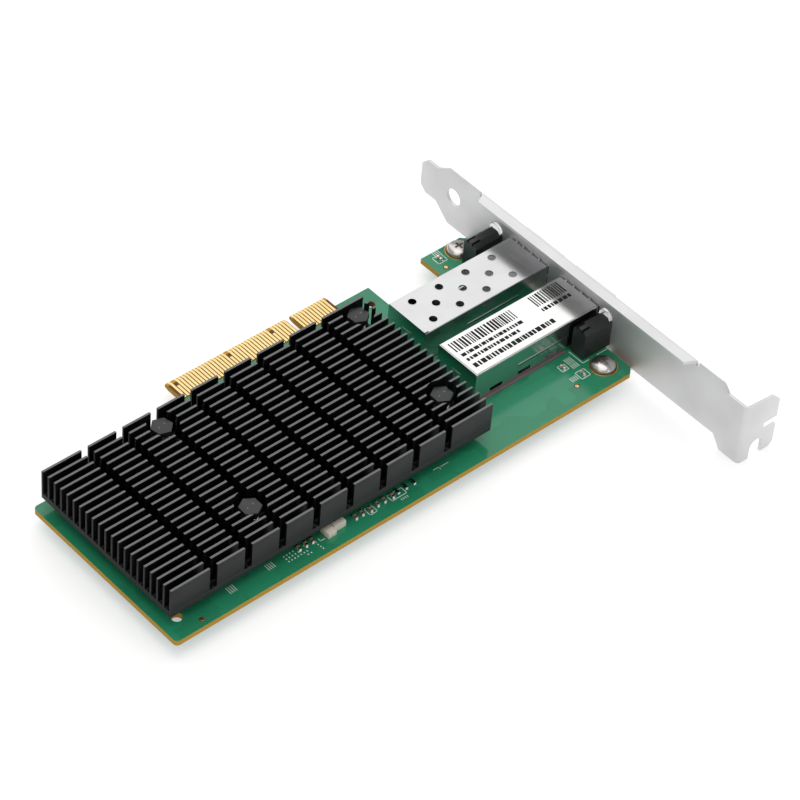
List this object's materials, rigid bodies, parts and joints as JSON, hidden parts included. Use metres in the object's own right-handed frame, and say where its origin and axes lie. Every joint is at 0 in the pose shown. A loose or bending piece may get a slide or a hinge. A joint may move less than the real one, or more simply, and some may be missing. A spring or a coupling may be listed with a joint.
{
  "type": "network interface card",
  "caption": "Low-profile plug-in network card with optical port cages, finned black heat sink and full-height slotted metal bracket.",
  "frame": {"origin": "middle of the edge connector's key notch, on the outer edge of the contact tab, at the component face of the board", "axes": "+X along the card towards the bracket, +Y towards the edge connector, +Z out of the component side"},
  "size_m": [0.1622, 0.12, 0.0222],
  "materials": {
    "laminate": "green solder mask over glass laminate",
    "gold": "hard gold plating",
    "black_anodised": "black anodised, extruded and saw-cut",
    "pin_plastic": "moulded, dark grey",
    "spring_wire": "drawn wire",
    "thermal_pad": "soft silicone",
    "chip_black": "moulded epoxy",
    "cage_sheet": "tin-plated, bright",
    "spring_sheet": "bright tin-plated copper alloy",
    "connector_plastic": "moulded, black",
    "bracket_steel": "satin zinc plating",
    "screw_steel": "nickel-plated",
    "copper": "bare copper",
    "housing_plastic": "moulded, black",
    "clear_lens": "clear moulded",
    "label_paper": "printed film",
    "ferrite": "pressed powder",
    "tantalum_case": "moulded, tan",
    "ceramic": "fired ceramic with tinned ends",
    "resistor_body": "glass-coated film",
    "crystal_can": "welded metal can"
  },
  "bodies": {
    "root": {"circuit_board": "laminate", "edge_contacts_component_side": "gold", "edge_contacts_solder_side": "gold", "heat_sink": "black_anodised", "heat_sink_pins": "pin_plastic", "pin_springs": "spring_wire", "network_controller": "chip_black", "thermal_pad": "thermal_pad", "cage_shell_1": "cage_sheet", "cage_floor_1": "cage_sheet", "spring_collar_1": "spring_sheet", "port_connector_1": "connector_plastic", "port_contacts_1": "gold", "cage_shell_2": "cage_sheet", "cage_floor_2": "cage_sheet", "spring_collar_2": "spring_sheet", "port_connector_2": "connector_plastic", "port_contacts_2": "gold", "bracket": "bracket_steel", "bracket_screws": "screw_steel", "screw_lands": "copper", "light_housing_1": "housing_plastic", "light_lens_1": "clear_lens", "light_housing_2": "housing_plastic", "light_lens_2": "clear_lens", "product_label": "label_paper", "power_inductors": "ferrite", "flash_memory": "chip_black", "voltage_regulators": "chip_black", "tantalum_capacitors": "tantalum_case", "crystal": "crystal_can", "chip_capacitors": "ceramic", "chip_resistors": "resistor_body", "solder_side_capacitors": "ceramic"}
  },
  "joints": []
}
